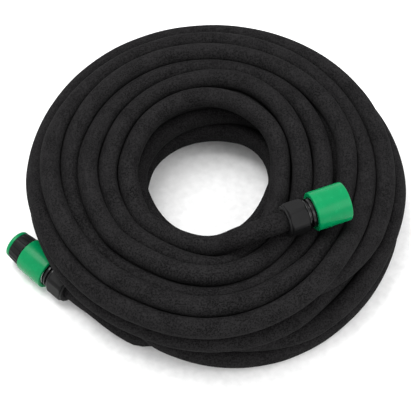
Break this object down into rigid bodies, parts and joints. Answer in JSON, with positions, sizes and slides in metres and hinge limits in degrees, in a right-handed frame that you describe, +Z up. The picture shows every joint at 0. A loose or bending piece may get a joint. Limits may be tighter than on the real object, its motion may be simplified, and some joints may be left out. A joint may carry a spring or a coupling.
{
  "type": "soaker hose",
  "caption": "Flat-lying round coil of black porous rubber soaker hose, with a green quick connector and tap adapter on the inlet end and a green water-stop quick connector on the outlet end.",
  "frame": {"origin": "centre of the whole outline on the floor, 3 mm to the right of the coil's own axis", "axes": "+Z up along the coil's axis, +X from the side where the inlet connector lies to the opposite side, +Y away from the side where both connectors' hose ends cross the coil's front"},
  "size_m": [0.3372, 0.331, 0.1028],
  "materials": {
    "porous_rubber": "matte, slightly fibrous, open-pored recycled rubber",
    "green_plastic": "satin moulded ABS",
    "black_gloss": "glossy moulded plastic",
    "black_matte": "fine-textured matte moulded plastic",
    "natural_nylon": "natural nylon",
    "seal_rubber": "smooth black seal rubber",
    "spring_steel": "bright stainless steel"
  },
  "bodies": {
    "hose": {"hose_coil": "porous_rubber", "hose_inlet_tail": "porous_rubber", "hose_outlet_tail": "porous_rubber", "inlet_connector_body": "black_gloss", "inlet_sleeve_spring": "spring_steel", "outlet_connector_body": "black_gloss", "outlet_sleeve_spring": "spring_steel", "outlet_valve_seat": "black_gloss", "outlet_valve_spring": "spring_steel"},
    "inlet_adapter": {"inlet_tap_adapter": "black_matte", "inlet_adapter_oring": "seal_rubber", "inlet_flow_restrictor": "spring_steel"},
    "inlet_washer": {"inlet_tap_washer": "seal_rubber"},
    "inlet_end_ring": {"inlet_end_ring": "green_plastic"},
    "outlet_valve": {"outlet_valve_plunger": "black_gloss", "outlet_valve_seal": "seal_rubber"},
    "inlet_sleeve": {"inlet_sleeve": "green_plastic"},
    "inlet_jaw_1": {"inlet_jaw_1": "natural_nylon"},
    "inlet_jaw_2": {"inlet_jaw_2": "natural_nylon"},
    "inlet_jaw_3": {"inlet_jaw_3": "natural_nylon"},
    "inlet_grip": {"inlet_grip_ring": "natural_nylon"},
    "inlet_nut": {"inlet_clamp_nut": "black_matte"},
    "outlet_sleeve": {"outlet_sleeve": "green_plastic"},
    "outlet_jaw_1": {"outlet_jaw_1": "natural_nylon"},
    "outlet_jaw_2": {"outlet_jaw_2": "natural_nylon"},
    "outlet_jaw_3": {"outlet_jaw_3": "natural_nylon"},
    "outlet_grip": {"outlet_grip_ring": "natural_nylon"},
    "outlet_nut": {"outlet_clamp_nut": "black_matte"}
  },
  "joints": [
    {"name": "inlet_sleeve_slide", "type": "slide", "parent": "hose", "child": "inlet_sleeve", "axis": [0.7385, -0.6743, 0], "range_m": [0, 0.0045], "stiffness_N_per_m": 300, "springref_m": -0.006, "deforming": ["inlet_sleeve_spring"]},
    {"name": "inlet_jaw_1_slide", "type": "slide", "parent": "hose", "child": "inlet_jaw_1", "axis": [0, 0, -1], "range_m": [0, 0.00113]},
    {"name": "inlet_jaw_2_slide", "type": "slide", "parent": "hose", "child": "inlet_jaw_2", "axis": [-0.584, -0.6395, 0.5], "range_m": [0, 0.00113]},
    {"name": "inlet_jaw_3_slide", "type": "slide", "parent": "hose", "child": "inlet_jaw_3", "axis": [0.584, 0.6395, 0.5], "range_m": [0, 0.00113]},
    {"name": "inlet_grip_slide", "type": "slide", "parent": "hose", "child": "inlet_grip", "axis": [0.7385, -0.6743, 0], "range_m": [0, 0.0075]},
    {"name": "inlet_nut_turn", "type": "hinge", "parent": "inlet_grip", "child": "inlet_nut", "pos_m": [-0.11742, -0.09447, 0.0156], "axis": [0.7385, -0.6743, 0], "range_deg": [0, 1080]},
    {"name": "outlet_sleeve_slide", "type": "slide", "parent": "hose", "child": "outlet_sleeve", "axis": [-0.9272, -0.3746, 0], "range_m": [0, 0.0045], "stiffness_N_per_m": 300, "springref_m": -0.006, "deforming": ["outlet_sleeve_spring"]},
    {"name": "outlet_jaw_1_slide", "type": "slide", "parent": "hose", "child": "outlet_jaw_1", "axis": [0, 0, -1], "range_m": [0, 0.00113]},
    {"name": "outlet_jaw_2_slide", "type": "slide", "parent": "hose", "child": "outlet_jaw_2", "axis": [-0.3244, 0.803, 0.5], "range_m": [0, 0.00113]},
    {"name": "outlet_jaw_3_slide", "type": "slide", "parent": "hose", "child": "outlet_jaw_3", "axis": [0.3244, -0.803, 0.5], "range_m": [0, 0.00113]},
    {"name": "outlet_grip_slide", "type": "slide", "parent": "hose", "child": "outlet_grip", "axis": [-0.9272, -0.3746, 0], "range_m": [0, 0.0075]},
    {"name": "outlet_nut_turn", "type": "hinge", "parent": "outlet_grip", "child": "outlet_nut", "pos_m": [0.07164, -0.07722, 0.0866], "axis": [-0.9272, -0.3746, 0], "range_deg": [0, 1080]},
    {"name": "outlet_valve_slide", "type": "slide", "parent": "hose", "child": "outlet_valve", "axis": [-0.9272, -0.3746, 0], "range_m": [0, 0.003], "stiffness_N_per_m": 300, "springref_m": -0.003, "deforming": ["outlet_valve_spring"]},
    {"name": "inlet_adapter_swivel", "type": "hinge", "parent": "hose", "child": "inlet_adapter", "pos_m": [-0.15176, -0.06311, 0.0156], "axis": [-0.7385, 0.6743, 0], "continuous": true},
    {"name": "inlet_washer_slide", "type": "slide", "parent": "inlet_adapter", "child": "inlet_washer", "axis": [-0.7385, 0.6743, 0], "range_m": [0, 0.00544]},
    {"name": "inlet_end_ring_turn", "type": "hinge", "parent": "inlet_washer", "child": "inlet_end_ring", "pos_m": [-0.15619, -0.05907, 0.0156], "axis": [-0.7385, 0.6743, 0], "range_deg": [0, 1080]}
  ],
  "couplings": [
    {"joint": "inlet_jaw_1_slide", "follows": "inlet_sleeve_slide", "ratio": 0.25},
    {"joint": "inlet_jaw_2_slide", "follows": "inlet_sleeve_slide", "ratio": 0.25},
    {"joint": "inlet_jaw_3_slide", "follows": "inlet_sleeve_slide", "ratio": 0.25},
    {"joint": "inlet_nut_turn", "follows": "inlet_grip_slide", "rad_per_m": 2513.3},
    {"joint": "outlet_jaw_1_slide", "follows": "outlet_sleeve_slide", "ratio": 0.25},
    {"joint": "outlet_jaw_2_slide", "follows": "outlet_sleeve_slide", "ratio": 0.25},
    {"joint": "outlet_jaw_3_slide", "follows": "outlet_sleeve_slide", "ratio": 0.25},
    {"joint": "outlet_nut_turn", "follows": "outlet_grip_slide", "rad_per_m": 2513.3},
    {"joint": "inlet_end_ring_turn", "follows": "inlet_washer_slide", "rad_per_m": 3463.7}
  ]
}
